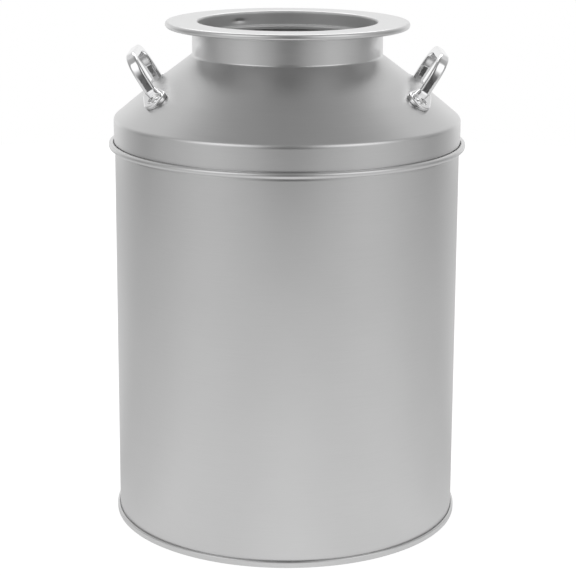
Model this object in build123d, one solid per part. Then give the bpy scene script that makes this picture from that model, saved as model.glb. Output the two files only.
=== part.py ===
from build123d import *

import os
from math import atan2, cos, degrees, radians, sin, sqrt

# Sheet-metal milk can with a slip-on shoulder, a flanged mouth ring and two riveted bow handles.
# Frame: millimetres, +Z up, origin on the floor at the centre of the base. The handles sit on -X and +X.
# Every sheet part is a strip of constant thickness, drawn as its mid-line and revolved about Z.

# ---- driving dimensions ----
BODY_RADIUS = 100.0  # outside of the body wall
SHEET = 0.5  # thickness of every sheet part
LAYER_GAP = 0.03  # play between folded layers
SLIP_GAP = 0.35  # play between the body's top and the shoulder's skirt

SEAM_HEIGHT = 3.8  # double seam round the base
PANEL_HEIGHT = 5.5  # middle of the bottom panel's sheet, above the floor

BEAD_HEIGHT = 222.4  # centre of the curl along the skirt's lower edge
BEAD_RADIUS = 103.6  # outside of that curl
SKIRT_RADIUS = 100.55  # outside of the skirt
BODY_STEP = 219.2  # above this the body wall is drawn in, to go inside the skirt
BODY_TOP = 237.6
SHOULDER_HEIGHT = 237.7  # where the skirt turns into the cone
NECK_RADIUS = 55.0  # outside of the neck
NECK_BASE = 273.8  # where the cone turns into the neck

CAN_HEIGHT = 293.3  # top face of the mouth ring
MOUTH_RADIUS = 51.7  # bore that takes a lid
MOUTH_DEPTH = 8.4  # from the top face to the lid's seat
SEAT_RADIUS = 49.9
SEAT_DROP = 2.4  # turned-down inner edge of the seat
RING_RADIUS = 70.5  # outside of the rolled edge
RING_EDGE = 3.7  # thickness of the rolled edge

LEG_X = 76.2  # foot of each leg, from the can's axis
LEG_SPREAD = 27.0  # half the distance between the legs
RIVET_X = 73.1  # from the can's axis
RIVET_SPREAD = 40.0  # half the distance between the rivets
BOW_TILT = 58.0  # elevation of the bow's plane, degrees
BOW_HEIGHT = 23.3  # from the cone to the middle of the grip
BOW_CORNER = 12.5  # bend between leg and grip
BAR_WIDTH = 6.4  # across the bow's plane
BAR_DEPTH = 5.0  # in the bow's plane
BAR_EDGE = 1.6  # rounding of the bar's four edges
FOOT_RADIUS = 7.2  # of its round end, about the rivet
FOOT_BACK = 4.8  # half its width at the leg
FOOT_BACK_GAP = 2.0  # middle of that end, from the leg towards the rivet
FOOT_HEIGHT = 2.3
FOOT_EDGE = 0.9  # rounding of the foot's top edge
RECESS_RADIUS = 4.2
RECESS_DEPTH = 1.2

RIVET_RADIUS = 1.6
RIVET_HEAD_RADIUS = 2.3
RIVET_HEAD_HEIGHT = 1.0
RIVET_TAIL_RADIUS = 2.6
RIVET_TAIL_HEIGHT = 1.2
RIVET_PLAY = 0.05
WASHER_RADIUS = 4.2
WASHER_THICKNESS = 0.8
WASHER_LIFT = 0.12  # lets the flat washer lie across the cone's hollow side


# ---- tools ----
def sheet_ring(*lines):
    """Revolve a strip of sheet, given by its mid-line in (radius, height), about Z."""
    middle = Wire([edge for line in lines for edge in line.edges()])
    strip = make_face(middle.offset_2d(SHEET / 2, kind=Kind.ARC, side=Side.BOTH))
    right_half = Pos(BODY_RADIUS, CAN_HEIGHT / 2) * Rectangle(2 * BODY_RADIUS, 2 * CAN_HEIGHT)
    return revolve(Plane.XZ * (strip & right_half), axis=Axis.Z, revolution_arc=360)


def hoop(path_radius, height, wire_radius):
    """A closed ring of round wire."""
    return Pos(0, 0, height) * Torus(path_radius, wire_radius)


# ---- body and base ----
LAYER = SHEET + LAYER_GAP  # pitch of the folded layers in the base seam
FOLD_RADIUS = 0.5
RIM_CORNER = 0.7
WALL_MIDDLE = BODY_RADIUS - SHEET / 2
SKIRT_MIDDLE = SKIRT_RADIUS - SHEET / 2
SLIP_MIDDLE = SKIRT_MIDDLE - SHEET - SLIP_GAP
STEP_HEIGHT = 1.6
STEP_RADIUS = 2.0
HEM_RADIUS = 1.0  # mid-line radius of the inward curl along the body's top edge
HEM_SWEEP = 290
SEAL_WIDTH = 0.26
SEAL_HEIGHT = 0.3
HOOK_TOP = SEAM_HEIGHT - SHEET - SEAL_HEIGHT - 2 * LAYER_GAP - SHEET / 2


def body_shell():
    """Rolled cylinder: hooked outwards into the base seam, drawn in and curled at its top edge."""
    hook_radius = WALL_MIDDLE + 2 * LAYER
    hook_foot = 3 * SHEET / 2 + LAYER_GAP
    hem_height = BODY_TOP - HEM_RADIUS - SHEET / 2
    wall = FilletPolyline(
        (hook_radius, HOOK_TOP),
        (hook_radius, hook_foot),
        (WALL_MIDDLE, hook_foot),
        (WALL_MIDDLE, BODY_STEP),
        (SLIP_MIDDLE, BODY_STEP + STEP_HEIGHT),
        (SLIP_MIDDLE, hem_height),
        radius=(FOLD_RADIUS, FOLD_RADIUS, STEP_RADIUS, STEP_RADIUS),
    )
    hem = CenterArc((SLIP_MIDDLE - HEM_RADIUS, hem_height), HEM_RADIUS, 0, HEM_SWEEP)
    return sheet_ring(wall, hem) + side_seam()


def side_seam():
    """Welded lap down the back of the wall, from the base seam to the step under the skirt."""
    width, proud, margin = 5.0, 0.2, 0.8
    low = SEAM_HEIGHT + margin
    high = BODY_STEP - margin
    tall = high - low
    band = Cylinder(BODY_RADIUS + proud, tall) - Cylinder(WALL_MIDDLE, tall)
    window = Pos(0, BODY_RADIUS, 0) * Box(width, BODY_RADIUS / 2, tall)
    return Pos(0, 0, (low + high) / 2) * (band & window)


def bottom_plate():
    """Raised panel whose rim wraps the body's hook in a double seam."""
    step_radius, step_width, step_drop = 76.0, 2.6, 1.2
    step_bend, chuck_bend = 2.0, 1.2
    hook_end = 3 * SHEET
    chuck = WALL_MIDDLE - LAYER
    cover = WALL_MIDDLE + 3 * LAYER
    hook = WALL_MIDDLE + LAYER
    seam_top = SEAM_HEIGHT - SHEET / 2
    rim = FilletPolyline(
        (0, PANEL_HEIGHT),
        (step_radius, PANEL_HEIGHT),
        (step_radius + step_width, PANEL_HEIGHT - step_drop),
        (chuck, PANEL_HEIGHT - step_drop),
        (chuck, SHEET / 2),
        (cover, SHEET / 2),
        (cover, seam_top),
        (hook, seam_top),
        (hook, hook_end),
        radius=(
            step_bend,
            step_bend,
            chuck_bend,
            RIM_CORNER,
            RIM_CORNER,
            FOLD_RADIUS,
            FOLD_RADIUS,
        ),
    )
    return sheet_ring(rim)


def bottom_seam_seal():
    """Ring of sealing compound in the fold above the body's hook."""
    level = SEAM_HEIGHT - SHEET - LAYER_GAP - SEAL_HEIGHT / 2
    section = Pos(WALL_MIDDLE + 2 * LAYER, level) * Rectangle(SEAL_WIDTH, SEAL_HEIGHT)
    return revolve(Plane.XZ * section, axis=Axis.Z, revolution_arc=360)


# ---- shoulder and mouth ring ----
CURL_RADIUS = (BEAD_RADIUS - SHEET / 2 - SKIRT_MIDDLE) / 2
CURL_SWEEP = 302  # degrees; the free edge stops just clear of the skirt
EDGE_ROLL = (RING_EDGE - SHEET) / 2  # mid-line radius of the mouth ring's rolled edge
ROLL_SWEEP = 300
ROLL_CENTRE = RING_RADIUS - SHEET / 2 - EDGE_ROLL
RING_TOP = CAN_HEIGHT - SHEET / 2
NECK_MIDDLE = NECK_RADIUS - SHEET / 2
WIRE_PLAY = 0.1
SHOULDER_CORNER = 2.6
NECK_CORNER = 2.0
FLANGE_CORNER = 1.5
DOME_PEAK = 0.8  # how far the cone's outline is lifted at its middle, before rounding
DOME_RADIUS = 650.0
CONE_RUN = SKIRT_MIDDLE - NECK_MIDDLE
CONE_RISE = NECK_BASE - SHOULDER_HEIGHT
CONE_LENGTH = sqrt(CONE_RUN**2 + CONE_RISE**2)
CONE_SLOPE = degrees(atan2(CONE_RISE, CONE_RUN))


def shoulder_outline():
    """Corners of the shoulder's mid-line, from the skirt's curl to the foot of the neck."""
    peak_radius = (SKIRT_MIDDLE + NECK_MIDDLE) / 2 + DOME_PEAK * CONE_RISE / CONE_LENGTH
    peak_height = (SHOULDER_HEIGHT + NECK_BASE) / 2 + DOME_PEAK * CONE_RUN / CONE_LENGTH
    return [
        (SKIRT_MIDDLE, BEAD_HEIGHT),
        (SKIRT_MIDDLE, SHOULDER_HEIGHT),
        (peak_radius, peak_height),
        (NECK_MIDDLE, NECK_BASE),
    ]


def shoulder():
    """Skirt with an outward curl, domed cone, neck, and a flange that carries the mouth ring."""
    flange_end = ROLL_CENTRE - EDGE_ROLL - SHEET
    line = FilletPolyline(
        *shoulder_outline(),
        (NECK_MIDDLE, RING_TOP - LAYER),
        (flange_end, RING_TOP - LAYER),
        radius=(SHOULDER_CORNER, DOME_RADIUS, NECK_CORNER, FLANGE_CORNER),
    )
    curl = CenterArc((SKIRT_MIDDLE + CURL_RADIUS, BEAD_HEIGHT), CURL_RADIUS, 180, CURL_SWEEP)
    shell = sheet_ring(curl, line)
    for side in SIDES.values():
        for end in ENDS.values():
            shell -= rivet_plane(side, end) * Cylinder(RIVET_RADIUS + RIVET_PLAY, 8 * SHEET)
    return shell


def mouth_ring():
    """Flat flange with a rolled outer edge and an inner sleeve stepped in to seat a lid."""
    mouth_bend, seat_bend = 1.3, 0.8
    sleeve = MOUTH_RADIUS + SHEET / 2
    lip = SEAT_RADIUS + SHEET / 2
    seat = CAN_HEIGHT - MOUTH_DEPTH - SHEET / 2
    line = FilletPolyline(
        (ROLL_CENTRE, RING_TOP),
        (sleeve, RING_TOP),
        (sleeve, seat),
        (lip, seat),
        (lip, seat - SEAT_DROP),
        radius=(mouth_bend, seat_bend, seat_bend),
    )
    roll = CenterArc((ROLL_CENTRE, RING_TOP - EDGE_ROLL), EDGE_ROLL, 90, -ROLL_SWEEP)
    return sheet_ring(roll, line)


def skirt_bead_wire():
    """Stiffening wire inside the skirt's curl."""
    return hoop(SKIRT_MIDDLE + CURL_RADIUS, BEAD_HEIGHT, CURL_RADIUS - SHEET / 2 - WIRE_PLAY)


def mouth_ring_wire():
    """Stiffening wire inside the mouth ring's rolled edge."""
    return hoop(ROLL_CENTRE, RING_TOP - EDGE_ROLL, EDGE_ROLL - SHEET / 2 - WIRE_PLAY)


# ---- handles and their rivets ----
SIDES = {"left": -1, "right": 1}
ENDS = {"front": -1, "rear": 1}
SEAT_PLAY = 0.02  # under the feet
DOME_LIFT = 0.5  # of the cone's middle above a straight line


def cone_height(radius):
    """Height of the cone's outer face near its middle."""
    straight = NECK_BASE + (NECK_MIDDLE - radius) * CONE_RISE / CONE_RUN
    return straight + (SHEET / 2 + DOME_LIFT) / cos(radians(CONE_SLOPE))


def rivet_plane(side, end):
    """Plane on the cone's outer face at a rivet, facing outwards."""
    x, y = side * RIVET_X, end * RIVET_SPREAD
    radius = sqrt(x**2 + y**2)
    slant = sin(radians(CONE_SLOPE))
    normal = Vector(slant * x / radius, slant * y / radius, cos(radians(CONE_SLOPE)))
    return Plane(origin=(x, y, cone_height(radius)), x_dir=(0, 1, 0), z_dir=normal)


def bow_plane(side):
    """Plane of a bow: local X runs along the grip, local Y leads up and away from the cone."""
    along = Vector(0, 1, 0)
    up = Vector(side * cos(radians(BOW_TILT)), 0, sin(radians(BOW_TILT)))
    origin = (side * LEG_X, 0, cone_height(sqrt(LEG_X**2 + LEG_SPREAD**2)))
    return Plane(origin=origin, x_dir=along, z_dir=along.cross(up))


def under_the_cone():
    """Everything below the shoulder's outer face, which the feet are fitted to."""
    outline = shoulder_outline() + [(NECK_MIDDLE, RING_TOP)]
    middle = FilletPolyline(*outline, radius=(SHOULDER_CORNER, DOME_RADIUS, NECK_CORNER))
    skin = Wire(middle.edges()).offset_2d(SHEET / 2 + SEAT_PLAY, kind=Kind.ARC, side=Side.BOTH)
    core = Polyline((NECK_MIDDLE, RING_TOP), (0, RING_TOP), (0, BEAD_HEIGHT), outline[0])
    filled = make_face(Wire(middle.edges() + core.edges())) + make_face(skin)
    return revolve(Plane.XZ * filled, axis=Axis.Z, revolution_arc=360)


def bow(side):
    """The bent bar of a handle, from one foot up over the grip and down to the other foot."""
    sunk = 3.0
    points = [
        (-LEG_SPREAD, -sunk),
        (-LEG_SPREAD, BOW_HEIGHT),
        (LEG_SPREAD, BOW_HEIGHT),
        (LEG_SPREAD, -sunk),
    ]
    path = bow_plane(side) * FilletPolyline(*points, radius=BOW_CORNER)
    start = Plane(origin=path @ 0, x_dir=bow_plane(side).z_dir, z_dir=path % 0)
    return sweep(start * RectangleRounded(BAR_WIDTH, BAR_DEPTH, BAR_EDGE), path=path)


def foot(side, end):
    """Tongue-shaped foot: round about the rivet, narrower at the leg, reaching below the cone's face."""
    sunk = 3.5
    seat = rivet_plane(side, end)
    back = end * (LEG_SPREAD + FOOT_BACK_GAP)
    back_height = cone_height(sqrt(LEG_X**2 + back**2))
    leg = seat.to_local_coords(Vector(side * LEG_X, back, back_height))
    ends = Circle(FOOT_RADIUS).edges() + (Pos(leg.X, leg.Y) * Circle(FOOT_BACK)).edges()
    blank = Pos(0, 0, -sunk) * extrude(make_hull(ends), FOOT_HEIGHT + sunk)
    return seat * fillet(blank.edges().group_by(Axis.Z)[-1], FOOT_EDGE)


def foot_recess(side, end):
    """Dish for the rivet's head, and the hole for its shank."""
    rim_slant = 0.8
    level = FOOT_HEIGHT - RECESS_DEPTH / 2
    dish = Pos(0, 0, level) * Cone(RECESS_RADIUS - rim_slant, RECESS_RADIUS, RECESS_DEPTH)
    hole = Cylinder(RIVET_RADIUS + RIVET_PLAY, 4 * FOOT_HEIGHT)
    above = Pos(0, 0, 2 * FOOT_HEIGHT) * Cylinder(RECESS_RADIUS, 2 * FOOT_HEIGHT)
    return rivet_plane(side, end) * (dish + hole + above)


def handle(side):
    """One bow handle with both feet, fitted to the cone."""
    body = bow(side)
    for end in ENDS.values():
        body += foot(side, end)
    for end in ENDS.values():
        body -= foot_recess(side, end)
    body -= under_the_cone()
    return max(body.solids(), key=lambda solid: solid.volume)


def rivet(side, end):
    """Domed head in the foot's dish, shank through the shoulder, clenched tail under the washer."""
    tail_edge = 0.4
    seat = FOOT_HEIGHT - RECESS_DEPTH
    tail_top = -SHEET - WASHER_LIFT - WASHER_THICKNESS - LAYER_GAP
    ball = (RIVET_HEAD_RADIUS**2 + RIVET_HEAD_HEIGHT**2) / (2 * RIVET_HEAD_HEIGHT)
    cap = Pos(0, 0, RIVET_HEAD_HEIGHT - ball) * Sphere(ball)
    keep = Pos(0, 0, ball) * Box(2 * ball, 2 * ball, 2 * ball)
    head = Pos(0, 0, seat + LAYER_GAP) * (cap & keep)
    shank_length = seat + RIVET_HEAD_HEIGHT / 2 - tail_top + RIVET_TAIL_HEIGHT / 2
    shank_middle = seat + RIVET_HEAD_HEIGHT / 2 - shank_length / 2
    shank = Pos(0, 0, shank_middle) * Cylinder(RIVET_RADIUS, shank_length)
    tail = Cylinder(RIVET_TAIL_RADIUS, RIVET_TAIL_HEIGHT)
    tail = fillet(tail.edges().filter_by(GeomType.CIRCLE), tail_edge)
    tail = Pos(0, 0, tail_top - RIVET_TAIL_HEIGHT / 2) * tail
    return rivet_plane(side, end) * (head + shank + tail)


def washer(side, end):
    """Flat washer against the inside of the shoulder."""
    level = -SHEET - WASHER_LIFT - WASHER_THICKNESS / 2
    blank = Cylinder(WASHER_RADIUS, WASHER_THICKNESS)
    hole = Cylinder(RIVET_RADIUS + RIVET_PLAY, 2 * WASHER_THICKNESS)
    return rivet_plane(side, end) * Pos(0, 0, level) * (blank - hole)


# ---- export ----
def parts():
    """Every piece of the can, with its name."""
    yield "body_shell", body_shell()
    yield "bottom_plate", bottom_plate()
    yield "bottom_seam_seal", bottom_seam_seal()
    yield "shoulder", shoulder()
    yield "skirt_bead_wire", skirt_bead_wire()
    yield "mouth_ring", mouth_ring()
    yield "mouth_ring_wire", mouth_ring_wire()
    for hand, side in SIDES.items():
        yield f"{hand}_handle", handle(side)
        for place, end in ENDS.items():
            yield f"{hand}_handle_{place}_rivet", rivet(side, end)
            yield f"{hand}_handle_{place}_washer", washer(side, end)


os.makedirs("parts", exist_ok=True)
for name, shape in parts():
    export_step(shape, f"parts/{name}.step")
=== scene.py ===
from math import atan2, cos, exp, hypot, pi, radians, sin, tan

import bmesh
import bpy
from mathutils import Matrix, Vector


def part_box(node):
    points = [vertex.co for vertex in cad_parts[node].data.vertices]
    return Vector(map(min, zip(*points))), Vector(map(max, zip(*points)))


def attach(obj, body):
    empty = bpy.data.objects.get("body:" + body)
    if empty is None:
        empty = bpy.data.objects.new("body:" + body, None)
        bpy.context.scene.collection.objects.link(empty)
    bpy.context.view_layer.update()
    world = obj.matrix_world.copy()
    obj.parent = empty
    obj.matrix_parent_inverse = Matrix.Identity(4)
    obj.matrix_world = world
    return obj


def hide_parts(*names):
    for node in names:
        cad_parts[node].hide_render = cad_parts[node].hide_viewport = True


# The looks of a sheet-metal milk can: satin lathe-formed sheet, chrome bow handles, soft studio light.

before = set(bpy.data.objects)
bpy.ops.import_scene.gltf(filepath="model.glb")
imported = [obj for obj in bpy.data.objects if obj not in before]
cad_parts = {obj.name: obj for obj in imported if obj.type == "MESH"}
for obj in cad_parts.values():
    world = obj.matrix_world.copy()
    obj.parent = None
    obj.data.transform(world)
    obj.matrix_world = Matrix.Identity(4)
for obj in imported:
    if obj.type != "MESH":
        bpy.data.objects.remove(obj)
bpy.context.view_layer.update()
MM = 0.001  # in metres


# ---- sizes, in millimetres, measured on the frame where it shows them ----
def top_of(node):
    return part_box(node)[1].z / MM


def radius_of(node):
    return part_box(node)[1].x / MM


SHEET = 0.5  # thickness of the sheet
LAYER = 0.53  # pitch of sheets folded or laid on each other
CAN_HEIGHT = top_of("mouth_ring")
RING_RADIUS = radius_of("mouth_ring")
BEAD_RADIUS = radius_of("shoulder")
SEAM_RADIUS = radius_of("bottom_plate")
BODY_TOP = top_of("body_shell")
WALL = SEAM_RADIUS - SHEET / 2 - 3 * LAYER  # middle of the body wall
SKIRT = WALL + 0.55  # middle of the skirt
SLIP = SKIRT - 0.85  # middle of the body wall where it goes inside the skirt
BODY_STEP = 219.2  # above this the body wall is drawn in
STEP_RISE = 1.6  # height over which it is drawn in
SEAM_HEIGHT = 3.8  # height of the base seam
FOLD_RADIUS = 0.5  # middle radius of the base seam's tightest folds
PANEL_HEIGHT = 5.5  # middle of the bottom panel's sheet
BEAD_HEIGHT = 222.4  # centre of the skirt's curl
SHOULDER_HEIGHT = 237.7  # where the skirt turns into the cone
NECK = 54.75  # middle of the neck's wall
NECK_BASE = 273.8  # where the cone turns into the neck
MOUTH = 51.95  # middle of the sleeve's wall
SEAT = 50.15  # middle of the seat's turned-down edge
SEAT_HEIGHT = 284.65  # middle of the seat's sheet
SEAT_DROP = 2.4  # how far its edge turns down
RING_TOP = CAN_HEIGHT - SHEET / 2
EDGE_ROLL = 1.6  # middle radius of the mouth ring's rolled edge
ROLL_CENTRE = RING_RADIUS - SHEET / 2 - EDGE_ROLL
CURL_RADIUS = (BEAD_RADIUS - SHEET / 2 - SKIRT) / 2
SLANT = atan2(NECK_BASE - SHOULDER_HEIGHT, SKIRT - NECK)  # of the cone

AROUND = 256  # segments round the can
ARC_STEP = radians(9)  # about the turn between points on an arc
ON_AXIS = 1e-3  # a point nearer than this lies on the can's axis
SAME_POINT = 1e-4  # points nearer than this are taken as one


# ---- profile tools ----
def rounded(points, radii):
    """The corners of a mid-line, each turned into an arc; straight runs get points near their ends."""
    line = [Vector(points[0])]
    for before, corner, after, radius in zip(points, points[1:], points[2:], radii):
        corner = Vector(corner)
        into = (Vector(before) - corner).normalized()
        out = (Vector(after) - corner).normalized()
        half = into.angle(out) / 2
        reach = radius / tan(half)
        centre = corner + (into + out).normalized() * radius / sin(half)
        start = corner + into * reach - centre
        turn = start.angle_signed(corner + out * reach - centre)
        steps = max(3, round(abs(turn) / ARC_STEP))
        for i in range(steps + 1):
            angle = -turn * i / steps
            line.append(centre + Matrix.Rotation(angle, 2) @ start)
    line.append(Vector(points[-1]))
    return fill_runs(line)


def fill_runs(line, near=0.35, most=3.0):
    """Adds points along long straight runs, close to both ends and evenly between."""
    full = [line[0]]
    for a, b in zip(line, line[1:]):
        length = (b - a).length
        if length > 4 * near:
            inner = max(1, round(length / most))
            shares = [near / length] + [i / inner for i in range(1, inner)] + [1 - near / length]
            full += [a.lerp(b, s) for s in shares]
        full.append(b)
    return full


def arc(centre, radius, start, sweep):
    """Points on an arc, with its start and sweep in degrees."""
    steps = max(4, round(abs(radians(sweep)) / ARC_STEP))
    angles = [radians(start + sweep * i / steps) for i in range(steps + 1)]
    return [Vector((centre[0] + radius * cos(a), centre[1] + radius * sin(a))) for a in angles]


def strip(line):
    """Closed outline of a strip of sheet about its mid-line, with rounded free edges."""
    line = [p for i, p in enumerate(line) if i == 0 or (p - line[i - 1]).length > SAME_POINT]
    sides = ([], [])
    normals = []
    for i, p in enumerate(line):
        along = (line[min(i + 1, len(line) - 1)] - line[max(i - 1, 0)]).normalized()
        normal = Vector((-along.y, along.x))
        normals.append(normal)
        for side, sign in zip(sides, (1, -1)):
            side.append(p + normal * sign * SHEET / 2)
    loop = sides[0] + edge_cap(line[-1], normals[-1]) + sides[1][::-1]
    return loop if line[0].x < ON_AXIS else loop + edge_cap(line[0], -normals[0])


def edge_cap(point, normal):
    """Points between the ends of the half circle that rounds a free edge."""
    steps = 4
    return [point + Matrix.Rotation(pi * i / steps, 2) @ normal * SHEET / 2 for i in range(1, steps)]


def lathe(name, loop):
    """Revolves a closed outline, in millimetres of (radius, height), about Z."""
    mesh = bmesh.new()
    rings = []
    for k in range(AROUND):
        c, s = cos(2 * pi * k / AROUND), sin(2 * pi * k / AROUND)
        rings.append([mesh.verts.new((p.x * c * MM, p.x * s * MM, p.y * MM)) for p in loop])
    for k, ring in enumerate(rings):
        following = rings[(k + 1) % AROUND]
        for i in range(len(loop)):
            j = (i + 1) % len(loop)
            if max(loop[i].x, loop[j].x) > ON_AXIS:
                mesh.faces.new((ring[i], ring[j], following[j], following[i]))
    bmesh.ops.remove_doubles(mesh, verts=mesh.verts, dist=1e-6)
    return to_object(name, mesh)


def to_object(name, mesh):
    """Turns a bmesh into a smooth-shaded object in the scene."""
    bmesh.ops.recalc_face_normals(mesh, faces=mesh.faces)
    data = bpy.data.meshes.new(name)
    mesh.to_mesh(data)
    mesh.free()
    data.shade_smooth()
    piece = bpy.data.objects.new(name, data)
    bpy.context.scene.collection.objects.link(piece)
    return piece


def settle(piece, material, node, body):
    """Gives a finished piece its material and its body, and hides the CAD node it takes the place of."""
    piece.data.materials.clear()
    piece.data.materials.append(material)
    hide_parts(node)
    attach(piece, body)


# ---- materials ----
def new_material(name):
    """A node material, with its tree and its main shader."""
    material = bpy.data.materials.new(name)
    material.use_nodes = True
    tree = material.node_tree
    return material, tree, tree.nodes["Principled BSDF"]


def add(tree, kind, **values):
    """A node with its properties and input values set."""
    node = tree.nodes.new(kind)
    for key, value in values.items():
        if key in node.inputs:
            node.inputs[key].default_value = value
        else:
            setattr(node, key, value)
    return node


def calc(tree, operation, *inputs):
    """A maths node on sockets or plain numbers."""
    node = tree.nodes.new("ShaderNodeMath")
    node.operation = operation
    for socket, value in zip(node.inputs, inputs):
        if isinstance(value, (int, float)):
            socket.default_value = value
        else:
            tree.links.new(value, socket)
    return node.outputs[0]


def axis_distance(tree):
    """Distance from the can's axis, in metres."""
    place = add(tree, "ShaderNodeTexCoord")
    flat = add(tree, "ShaderNodeVectorMath", operation="MULTIPLY")
    flat.inputs[1].default_value = (1, 1, 0)
    reach = add(tree, "ShaderNodeVectorMath", operation="LENGTH")
    tree.links.new(place.outputs["Object"], flat.inputs[0])
    tree.links.new(flat.outputs[0], reach.inputs[0])
    return reach.outputs["Value"]


def turned_noise(tree, across, around):
    """Noise drawn out round the can: fine across the turning marks, long along them."""
    place = add(tree, "ShaderNodeTexCoord")
    parts = add(tree, "ShaderNodeSeparateXYZ")
    tree.links.new(place.outputs["Object"], parts.inputs[0])
    x, y, z = parts.outputs
    radius = axis_distance(tree)
    safe = calc(tree, "MAXIMUM", radius, MM)
    vector = add(tree, "ShaderNodeCombineXYZ")
    for value, socket in zip((x, y), vector.inputs):
        tree.links.new(calc(tree, "MULTIPLY", calc(tree, "DIVIDE", value, safe), around), socket)
    tree.links.new(calc(tree, "MULTIPLY", radius, across), vector.inputs[2])
    noise = add(tree, "ShaderNodeTexNoise", noise_dimensions="4D", Scale=1.0, Detail=3.0, Roughness=0.55)
    tree.links.new(vector.outputs[0], noise.inputs["Vector"])
    tree.links.new(calc(tree, "MULTIPLY", z, across), noise.inputs["W"])
    return noise.outputs[0]


def ranged(tree, value, low, high, from_low=0.3, from_high=0.7):
    """A value mapped to run from low to high. By default it is noise, which stays near 0.3 to 0.7."""
    node = tree.nodes.new("ShaderNodeMapRange")
    node.inputs["From Min"].default_value = from_low
    node.inputs["From Max"].default_value = from_high
    node.inputs["To Min"].default_value = low
    node.inputs["To Max"].default_value = high
    tree.links.new(value, node.inputs["Value"])
    return node.outputs["Result"]


def mixed(tree, factor, a, b):
    """Colour between a and b, each a socket or a plain colour."""
    mix = add(tree, "ShaderNodeMix", data_type="RGBA")
    tree.links.new(factor, mix.inputs["Factor"])
    for name, value in (("A", a), ("B", b)):
        if isinstance(value, tuple):
            mix.inputs[name].default_value = (*value, 1)
        else:
            tree.links.new(value, mix.inputs[name])
    return mix.outputs["Result"]


def tinted(tree, shader, value, dark, light):
    """Base colour between two tones, driven by noise."""
    colour = mixed(tree, ranged(tree, value, 0, 1), dark, light)
    tree.links.new(colour, shader.inputs["Base Color"])


def bumped(tree, shader, height, strength, distance, below=None):
    """Bump on a shader, over another bump where one is given."""
    bump = add(tree, "ShaderNodeBump", Strength=strength, Distance=distance)
    tree.links.new(height, bump.inputs["Height"])
    if below:
        tree.links.new(below.outputs[0], bump.inputs["Normal"])
    tree.links.new(bump.outputs[0], shader.inputs["Normal"])
    return bump


def object_noise(tree, scale, detail):
    """Even noise fixed to the piece."""
    place = add(tree, "ShaderNodeTexCoord")
    noise = add(tree, "ShaderNodeTexNoise", Scale=scale, Detail=detail)
    tree.links.new(place.outputs["Object"], noise.inputs["Vector"])
    return noise.outputs[0]


def satin_steel(name, dark, light, rough_low, rough_high, inside=None):
    """Fine turned finish: long marks round the can, faint clouding, soft waviness in the sheet.

    Within the radius `inside`, in metres, the surface is more matt, as on an unpolished sleeve.
    """
    material, tree, shader = new_material(name)
    shader.inputs["Metallic"].default_value = 1.0
    marks = turned_noise(tree, across=1900, around=5.0)
    clouds = object_noise(tree, scale=22, detail=4)
    blend = calc(tree, "ADD", calc(tree, "MULTIPLY", marks, 0.5), calc(tree, "MULTIPLY", clouds, 0.5))
    tinted(tree, shader, blend, (dark,) * 3, (light,) * 3)
    rough = ranged(tree, marks, rough_low, rough_high)
    if inside:
        matt = ranged(tree, axis_distance(tree), 0.6, 0.0, inside, inside + 1.2 * MM)
        rough = calc(tree, "MAXIMUM", rough, matt)
    tree.links.new(rough, shader.inputs["Roughness"])
    waves = bumped(tree, shader, object_noise(tree, scale=9, detail=1), 0.08, 0.6 * MM)
    bumped(tree, shader, marks, 0.008, 0.03 * MM, below=waves)
    return material


def chrome(name, tone, roughness, ripple):
    """Plated casting: bright, with a slight ripple left by polishing."""
    material, tree, shader = new_material(name)
    shader.inputs["Metallic"].default_value = 1.0
    spots = object_noise(tree, scale=260, detail=4)
    tinted(tree, shader, spots, (tone * 0.96,) * 3, (tone, tone, tone * 1.01))
    tree.links.new(ranged(tree, spots, roughness * 0.7, roughness * 1.6), shader.inputs["Roughness"])
    bumped(tree, shader, object_noise(tree, scale=150, detail=2), ripple, 0.6 * MM)
    return material


def dull_steel(name, tone, roughness):
    """Plain drawn or stamped steel with blotchy tarnish."""
    material, tree, shader = new_material(name)
    shader.inputs["Metallic"].default_value = 1.0
    blotches = object_noise(tree, scale=400, detail=5)
    tinted(tree, shader, blotches, (tone * 0.8,) * 3, (tone, tone, tone * 1.02))
    tree.links.new(ranged(tree, blotches, roughness, roughness + 0.15), shader.inputs["Roughness"])
    bumped(tree, shader, blotches, 0.2, 0.2 * MM)
    return material


def seam_compound():
    """Dark rubbery sealing compound."""
    material, tree, shader = new_material("seam_compound")
    grain = object_noise(tree, scale=900, detail=3)
    tinted(tree, shader, grain, (0.02, 0.02, 0.02), (0.05, 0.05, 0.048))
    tree.links.new(ranged(tree, grain, 0.6, 0.8), shader.inputs["Roughness"])
    bumped(tree, shader, grain, 0.3, 0.1 * MM)
    return material


SATIN_FINISH = {"dark": 0.685, "light": 0.72, "rough_low": 0.28, "rough_high": 0.33}
SATIN = satin_steel("satin_steel", **SATIN_FINISH)
MOUTH_SATIN = satin_steel("mouth_satin", **SATIN_FINISH, inside=(MOUTH + 0.1) * MM)
CHROME = chrome("handle_chrome", tone=0.88, roughness=0.05, ripple=0.35)
RIVET_CHROME = chrome("rivet_chrome", tone=0.84, roughness=0.09, ripple=0.25)
WIRE_STEEL = dull_steel("wire_steel", tone=0.45, roughness=0.35)
WASHER_STEEL = dull_steel("washer_steel", tone=0.52, roughness=0.3)
SEAL = seam_compound()


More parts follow.
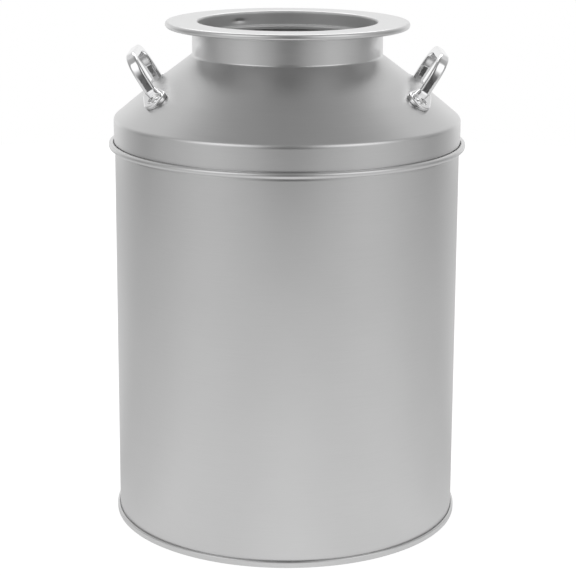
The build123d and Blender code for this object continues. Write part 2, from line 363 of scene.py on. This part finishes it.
# ---- body and base ----
def body_wall():
    """Rolled wall: hooked outwards into the base seam, drawn in and curled at its top edge."""
    hook = WALL + 2 * LAYER
    hook_foot = 3 * SHEET / 2 + LAYER - SHEET
    hook_top = 2.69
    step_bend = 2.0
    hem = 1.0  # middle radius of the curl
    hem_sweep = 290
    hem_height = BODY_TOP - hem - SHEET / 2
    line = rounded(
        [(hook, hook_top), (hook, hook_foot), (WALL, hook_foot), (WALL, BODY_STEP),
         (SLIP, BODY_STEP + STEP_RISE), (SLIP, hem_height)],
        [FOLD_RADIUS, FOLD_RADIUS, step_bend, step_bend],
    )
    curl = arc((SLIP - hem, hem_height), hem, 0, hem_sweep)
    return lathe("body_wall", strip(line + curl[1:]))


def side_seam():
    """Welded lap down the back of the wall: a narrow raised band with its long edges eased."""
    half_width, proud, ease, margin = 2.5, 0.2, 0.12, 0.8
    steps = 8
    outer = WALL + SHEET / 2 + proud
    turns = [half_width / outer * (2 * i / steps - 1) for i in range(steps + 1)]
    ends = (turns[0], turns[-1])
    outline = [(outer - ease if turn in ends else outer, turn) for turn in turns]
    outline += [(WALL, ends[1]), (WALL, ends[0])]
    mesh = bmesh.new()
    low, high = [
        [mesh.verts.new(Vector((r * sin(turn), r * cos(turn), height)) * MM) for r, turn in outline]
        for height in (SEAM_HEIGHT + margin, BODY_STEP - margin)
    ]
    for i in range(len(outline)):
        j = (i + 1) % len(outline)
        mesh.faces.new((low[i], low[j], high[j], high[i]))
    mesh.faces.new(low)
    mesh.faces.new(high)
    piece = to_object("side_seam", mesh)
    piece.data.set_sharp_from_angle(angle=radians(30))
    return piece


def base():
    """Raised panel whose rim wraps the body's hook in a double seam."""
    step_radius, step_width, step_drop = 76, 2.6, 1.2
    step_bend, chuck_bend, rim_corner = 2.0, 1.2, 0.7
    low_panel = PANEL_HEIGHT - step_drop
    seam_top = SEAM_HEIGHT - SHEET / 2
    chuck, cover, hook = WALL - LAYER, WALL + 3 * LAYER, WALL + LAYER
    line = rounded(
        [(0, PANEL_HEIGHT), (step_radius, PANEL_HEIGHT), (step_radius + step_width, low_panel),
         (chuck, low_panel), (chuck, SHEET / 2), (cover, SHEET / 2), (cover, seam_top),
         (hook, seam_top), (hook, 3 * SHEET)],
        [step_bend, step_bend, chuck_bend, rim_corner, rim_corner, FOLD_RADIUS, FOLD_RADIUS],
    )
    return lathe("base_panel", strip(line))


# ---- shoulder and mouth ring ----
def shoulder():
    """Skirt with an outward curl, domed cone, neck, and a flange that carries the mouth ring."""
    peak, dome = 0.8, 650  # the cone's lift at its middle, and the radius that rounds it
    skirt_corner, neck_corner, flange_corner = 2.6, 2.0, 1.5
    curl_sweep = 302
    middle = Vector(((SKIRT + NECK) / 2, (SHOULDER_HEIGHT + NECK_BASE) / 2))
    middle += Vector((sin(SLANT), cos(SLANT))) * peak
    flange_end = ROLL_CENTRE - EDGE_ROLL - SHEET
    line = rounded(
        [(SKIRT, BEAD_HEIGHT), (SKIRT, SHOULDER_HEIGHT), middle, (NECK, NECK_BASE),
         (NECK, RING_TOP - LAYER), (flange_end, RING_TOP - LAYER)],
        [skirt_corner, dome, neck_corner, flange_corner],
    )
    curl = arc((SKIRT + CURL_RADIUS, BEAD_HEIGHT), CURL_RADIUS, 180, curl_sweep)
    return lathe("shoulder_shell", strip(curl[::-1] + line[1:]))


def mouth_ring():
    """Flat flange with a rolled outer edge, and a sleeve stepped in to seat a lid."""
    mouth_bend, seat_bend = 1.3, 0.8
    roll_sweep = -300
    line = rounded(
        [(ROLL_CENTRE, RING_TOP), (MOUTH, RING_TOP), (MOUTH, SEAT_HEIGHT), (SEAT, SEAT_HEIGHT),
         (SEAT, SEAT_HEIGHT - SEAT_DROP)],
        [mouth_bend, seat_bend, seat_bend],
    )
    roll = arc((ROLL_CENTRE, RING_TOP - EDGE_ROLL), EDGE_ROLL, 90, roll_sweep)
    piece = lathe("mouth_flange", strip(roll[::-1] + fill_upright(line)[1:]))
    press_dimple(piece)
    return piece


def fill_upright(line, longest=0.5):
    """Adds points along upright runs, close enough together to press a dent into them."""
    full = []
    for a, b in zip(line, line[1:]):
        upright = abs(b.x - a.x) < 1e-3
        count = max(1, round((b - a).length / longest)) if upright else 1
        full += [a.lerp(b, i / count) for i in range(count)]
    return full + line[-1:]


def press_dimple(piece):
    """Small dent pressed outwards in the sleeve, at the back and to the left."""
    depth, wide, tall = 0.8, 3.4, 1.1
    turn, height = radians(124), CAN_HEIGHT - 5.3
    both_faces = 0.4  # from the sleeve's middle, so that both faces of its sheet move
    for vertex in piece.data.vertices:
        x, y, z = vertex.co / MM
        radius = hypot(x, y)
        if abs(radius - MOUTH) < both_faces:
            along = radius * (atan2(y, x) - turn)
            push = depth * exp(-((along / wide) ** 2) - ((z - height) / tall) ** 2)
            vertex.co += Vector((x, y, 0)) / radius * push * MM


# ---- handles ----
def polished(node):
    """Softened copy of a casting, with its edges and inner corners run together as polishing leaves them."""
    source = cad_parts[node]
    piece = bpy.data.objects.new(f"{node}_casting", source.data.copy())
    piece.matrix_world = source.matrix_world
    bpy.context.scene.collection.objects.link(piece)
    remesh = piece.modifiers.new("even", "REMESH")
    remesh.mode = "VOXEL"
    remesh.voxel_size = 0.25 * MM
    smooth = piece.modifiers.new("soften", "SMOOTH")
    smooth.factor = 0.5
    smooth.iterations = 14
    graph = bpy.context.evaluated_depsgraph_get()
    soft = bpy.data.meshes.new_from_object(piece.evaluated_get(graph))
    piece.modifiers.clear()
    piece.data = soft
    piece.data.shade_smooth()
    return piece


# ---- pieces, with their materials and bodies ----
settle(body_wall(), SATIN, "body_shell", "can")
settle(side_seam(), SATIN, "body_shell", "can")
settle(base(), SATIN, "bottom_plate", "can")
settle(shoulder(), SATIN, "shoulder", "top")
settle(mouth_ring(), MOUTH_SATIN, "mouth_ring", "top")

# The CAD nodes that keep their shape
KEPT = {"bottom_seam_seal": SEAL, "skirt_bead_wire": WIRE_STEEL, "mouth_ring_wire": WIRE_STEEL}
for hand in ("left", "right"):
    settle(polished(f"{hand}_handle"), CHROME, f"{hand}_handle", "top")
    for place in ("front", "rear"):
        KEPT[f"{hand}_handle_{place}_rivet"] = RIVET_CHROME
        KEPT[f"{hand}_handle_{place}_washer"] = WASHER_STEEL
for node, material in KEPT.items():
    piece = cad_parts[node]
    piece.data.materials.clear()
    piece.data.materials.append(material)


# ---- floor, light and camera, with lengths in metres ----
# The lists hold (degrees from the front, brightness), the same to both sides.
# The floor's glow is painted light: emission standing in for the pool of light a lamp would cast.
FLOOR_RADIUS = 1.25
FLOOR_INNER = 0.12  # the floor's glow fades from here out to its edge
FLOOR_NEAR = 0.71  # glow beside the can
FLOOR_FAR = 0.42  # glow at the edge
FLOOR_GLOW_ROUND = [(0, 0.97), (27, 0.87), (55, 0.87), (90, 0.72), (112, 0.65), (140, 0.83), (180, 1.08)]
FLOOR_SHOWN = 0.9  # glow that the camera sees
ROOM_TURN = -2.0  # degrees the room is turned about the can
WALL_RISE = (0.10, 0.52)  # sine of the elevation over which the low room turns into the high one
CEILING_RISE = (0.72, 1.0)  # the same, for the high room and the ceiling
ROOM_LOW = [(0, 0.07), (9, 0.15), (24, 0.42), (52, 0.66), (82, 0.50),
            (108, 0.30), (126, 0.55), (148, 1.00), (180, 0.92)]
ROOM_HIGH = [(0, 0.12), (12, 0.20), (34, 1.15), (62, 1.30), (84, 0.44),
             (108, 0.48), (130, 0.72), (150, 0.68), (180, 0.82)]
CEILING = 0.26


def floor():
    """Pale round floor with a painted pool of light: its own emission glows most near the can, less further
    out and differently round it, as a softbox would light it.
    """
    mesh = bmesh.new()
    bmesh.ops.create_circle(mesh, cap_ends=True, radius=FLOOR_RADIUS, segments=96)
    piece = to_object("studio_floor", mesh)
    material, tree, shader = new_material("pale_floor_painted_glow")
    shader.inputs["Base Color"].default_value = (0.25, 0.25, 0.25, 1)
    shader.inputs["Roughness"].default_value = 0.9
    shader.inputs["Emission Color"].default_value = (1, 1, 1, 1)
    # Painted pool of light: emission that fades from the can outwards and changes round it, which the metal
    # reflects.
    fade = ranged(tree, axis_distance(tree), FLOOR_NEAR, FLOOR_FAR, FLOOR_INNER, FLOOR_RADIUS)
    share, _ = from_front(tree, "Object")
    glow = calc(tree, "MULTIPLY", fade, grey_ramp(tree, share, FLOOR_GLOW_ROUND))
    path = add(tree, "ShaderNodeLightPath")
    shown = tree.nodes.new("ShaderNodeMix")
    tree.links.new(path.outputs["Is Camera Ray"], shown.inputs["Factor"])
    tree.links.new(glow, shown.inputs["A"])
    shown.inputs["B"].default_value = FLOOR_SHOWN
    tree.links.new(shown.outputs["Result"], shader.inputs["Emission Strength"])
    piece.data.materials.append(material)


def studio_world():
    """Room round the can: white backdrop, side panels with gaps between, a dimmer front and ceiling."""
    world = bpy.data.worlds.new("studio")
    bpy.context.scene.world = world
    world.use_nodes = True
    tree = world.node_tree
    share, z = from_front(tree, "Generated")
    low = grey_ramp(tree, share, ROOM_LOW)
    high = grey_ramp(tree, share, ROOM_HIGH)
    walls = mixed(tree, ranged(tree, z, 0, 1, *WALL_RISE), low, high)
    room = mixed(tree, ranged(tree, z, 0, 1, *CEILING_RISE), walls, (CEILING,) * 3)
    tree.links.new(room, tree.nodes["Background"].inputs["Color"])
    white = add(tree, "ShaderNodeBackground", Color=(1, 1, 1, 1))
    path = add(tree, "ShaderNodeLightPath")
    choose = add(tree, "ShaderNodeMixShader")
    tree.links.new(path.outputs["Is Camera Ray"], choose.inputs[0])
    tree.links.new(tree.nodes["Background"].outputs[0], choose.inputs[1])
    tree.links.new(white.outputs[0], choose.inputs[2])
    tree.links.new(choose.outputs[0], tree.nodes["World Output"].inputs[0])


def from_front(tree, coordinates):
    """How far round from the front a direction is, from 0 to 1 at the back, and its height."""
    place = add(tree, "ShaderNodeTexCoord")
    parts = add(tree, "ShaderNodeSeparateXYZ")
    tree.links.new(place.outputs[coordinates], parts.inputs[0])
    x, y, z = parts.outputs
    azimuth = calc(tree, "ARCTAN2", x, calc(tree, "MULTIPLY", y, -1.0))
    azimuth = calc(tree, "WRAP", calc(tree, "ADD", azimuth, radians(ROOM_TURN)), pi, -pi)
    return calc(tree, "DIVIDE", calc(tree, "ABSOLUTE", azimuth), pi), z


def grey_ramp(tree, value, stops):
    """A smooth grey curve through (degrees from the front, grey)."""
    node = add(tree, "ShaderNodeValToRGB")
    ramp = node.color_ramp
    ramp.interpolation = "EASE"
    while len(ramp.elements) < len(stops):
        ramp.elements.new(0.5)
    for element, (degrees, grey) in zip(ramp.elements, stops):
        element.position = degrees / 180
        element.color = (grey, grey, grey, 1)
    tree.links.new(value, node.inputs[0])
    return node.outputs[0]


def softbox(name, place, aim, size, power):
    """A soft rectangular lamp that the camera doesn't see."""
    light = bpy.data.lights.new(name, "AREA")
    light.shape = "RECTANGLE"
    light.size, light.size_y = size
    light.energy = power
    lamp = bpy.data.objects.new(name, light)
    lamp.location = place
    lamp.rotation_euler = (Vector(aim) - Vector(place)).to_track_quat("-Z", "Y").to_euler()
    lamp.visible_camera = False
    bpy.context.scene.collection.objects.link(lamp)


def camera():
    """Viewpoint about a metre in front, a little above the can and looking slightly down."""
    body_radius = (WALL + SHEET / 2) * MM
    stand = Vector((0.0075, -10.375, 4.097)) * body_radius  # where it stands, in body radii
    view = bpy.data.cameras.new("view")
    view.lens = 112.8
    view.sensor_width = 36
    view.shift_y = -0.1287
    view.clip_start = 0.01
    eye = bpy.data.objects.new("camera", view)
    pitch, roll = radians(12.52), radians(0.277)
    turn = Matrix.Rotation(pi / 2 - pitch, 4, "X") @ Matrix.Rotation(roll, 4, "Z")
    eye.matrix_world = Matrix.Translation(stand) @ turn
    bpy.context.scene.collection.objects.link(eye)
    bpy.context.scene.camera = eye


floor()
studio_world()
softbox("back_softbox", place=(0, 1.3, 1.5), aim=(0, 0, 0.2), size=(1.6, 0.8), power=6)
camera()
bpy.context.scene.view_settings.view_transform = "Standard"
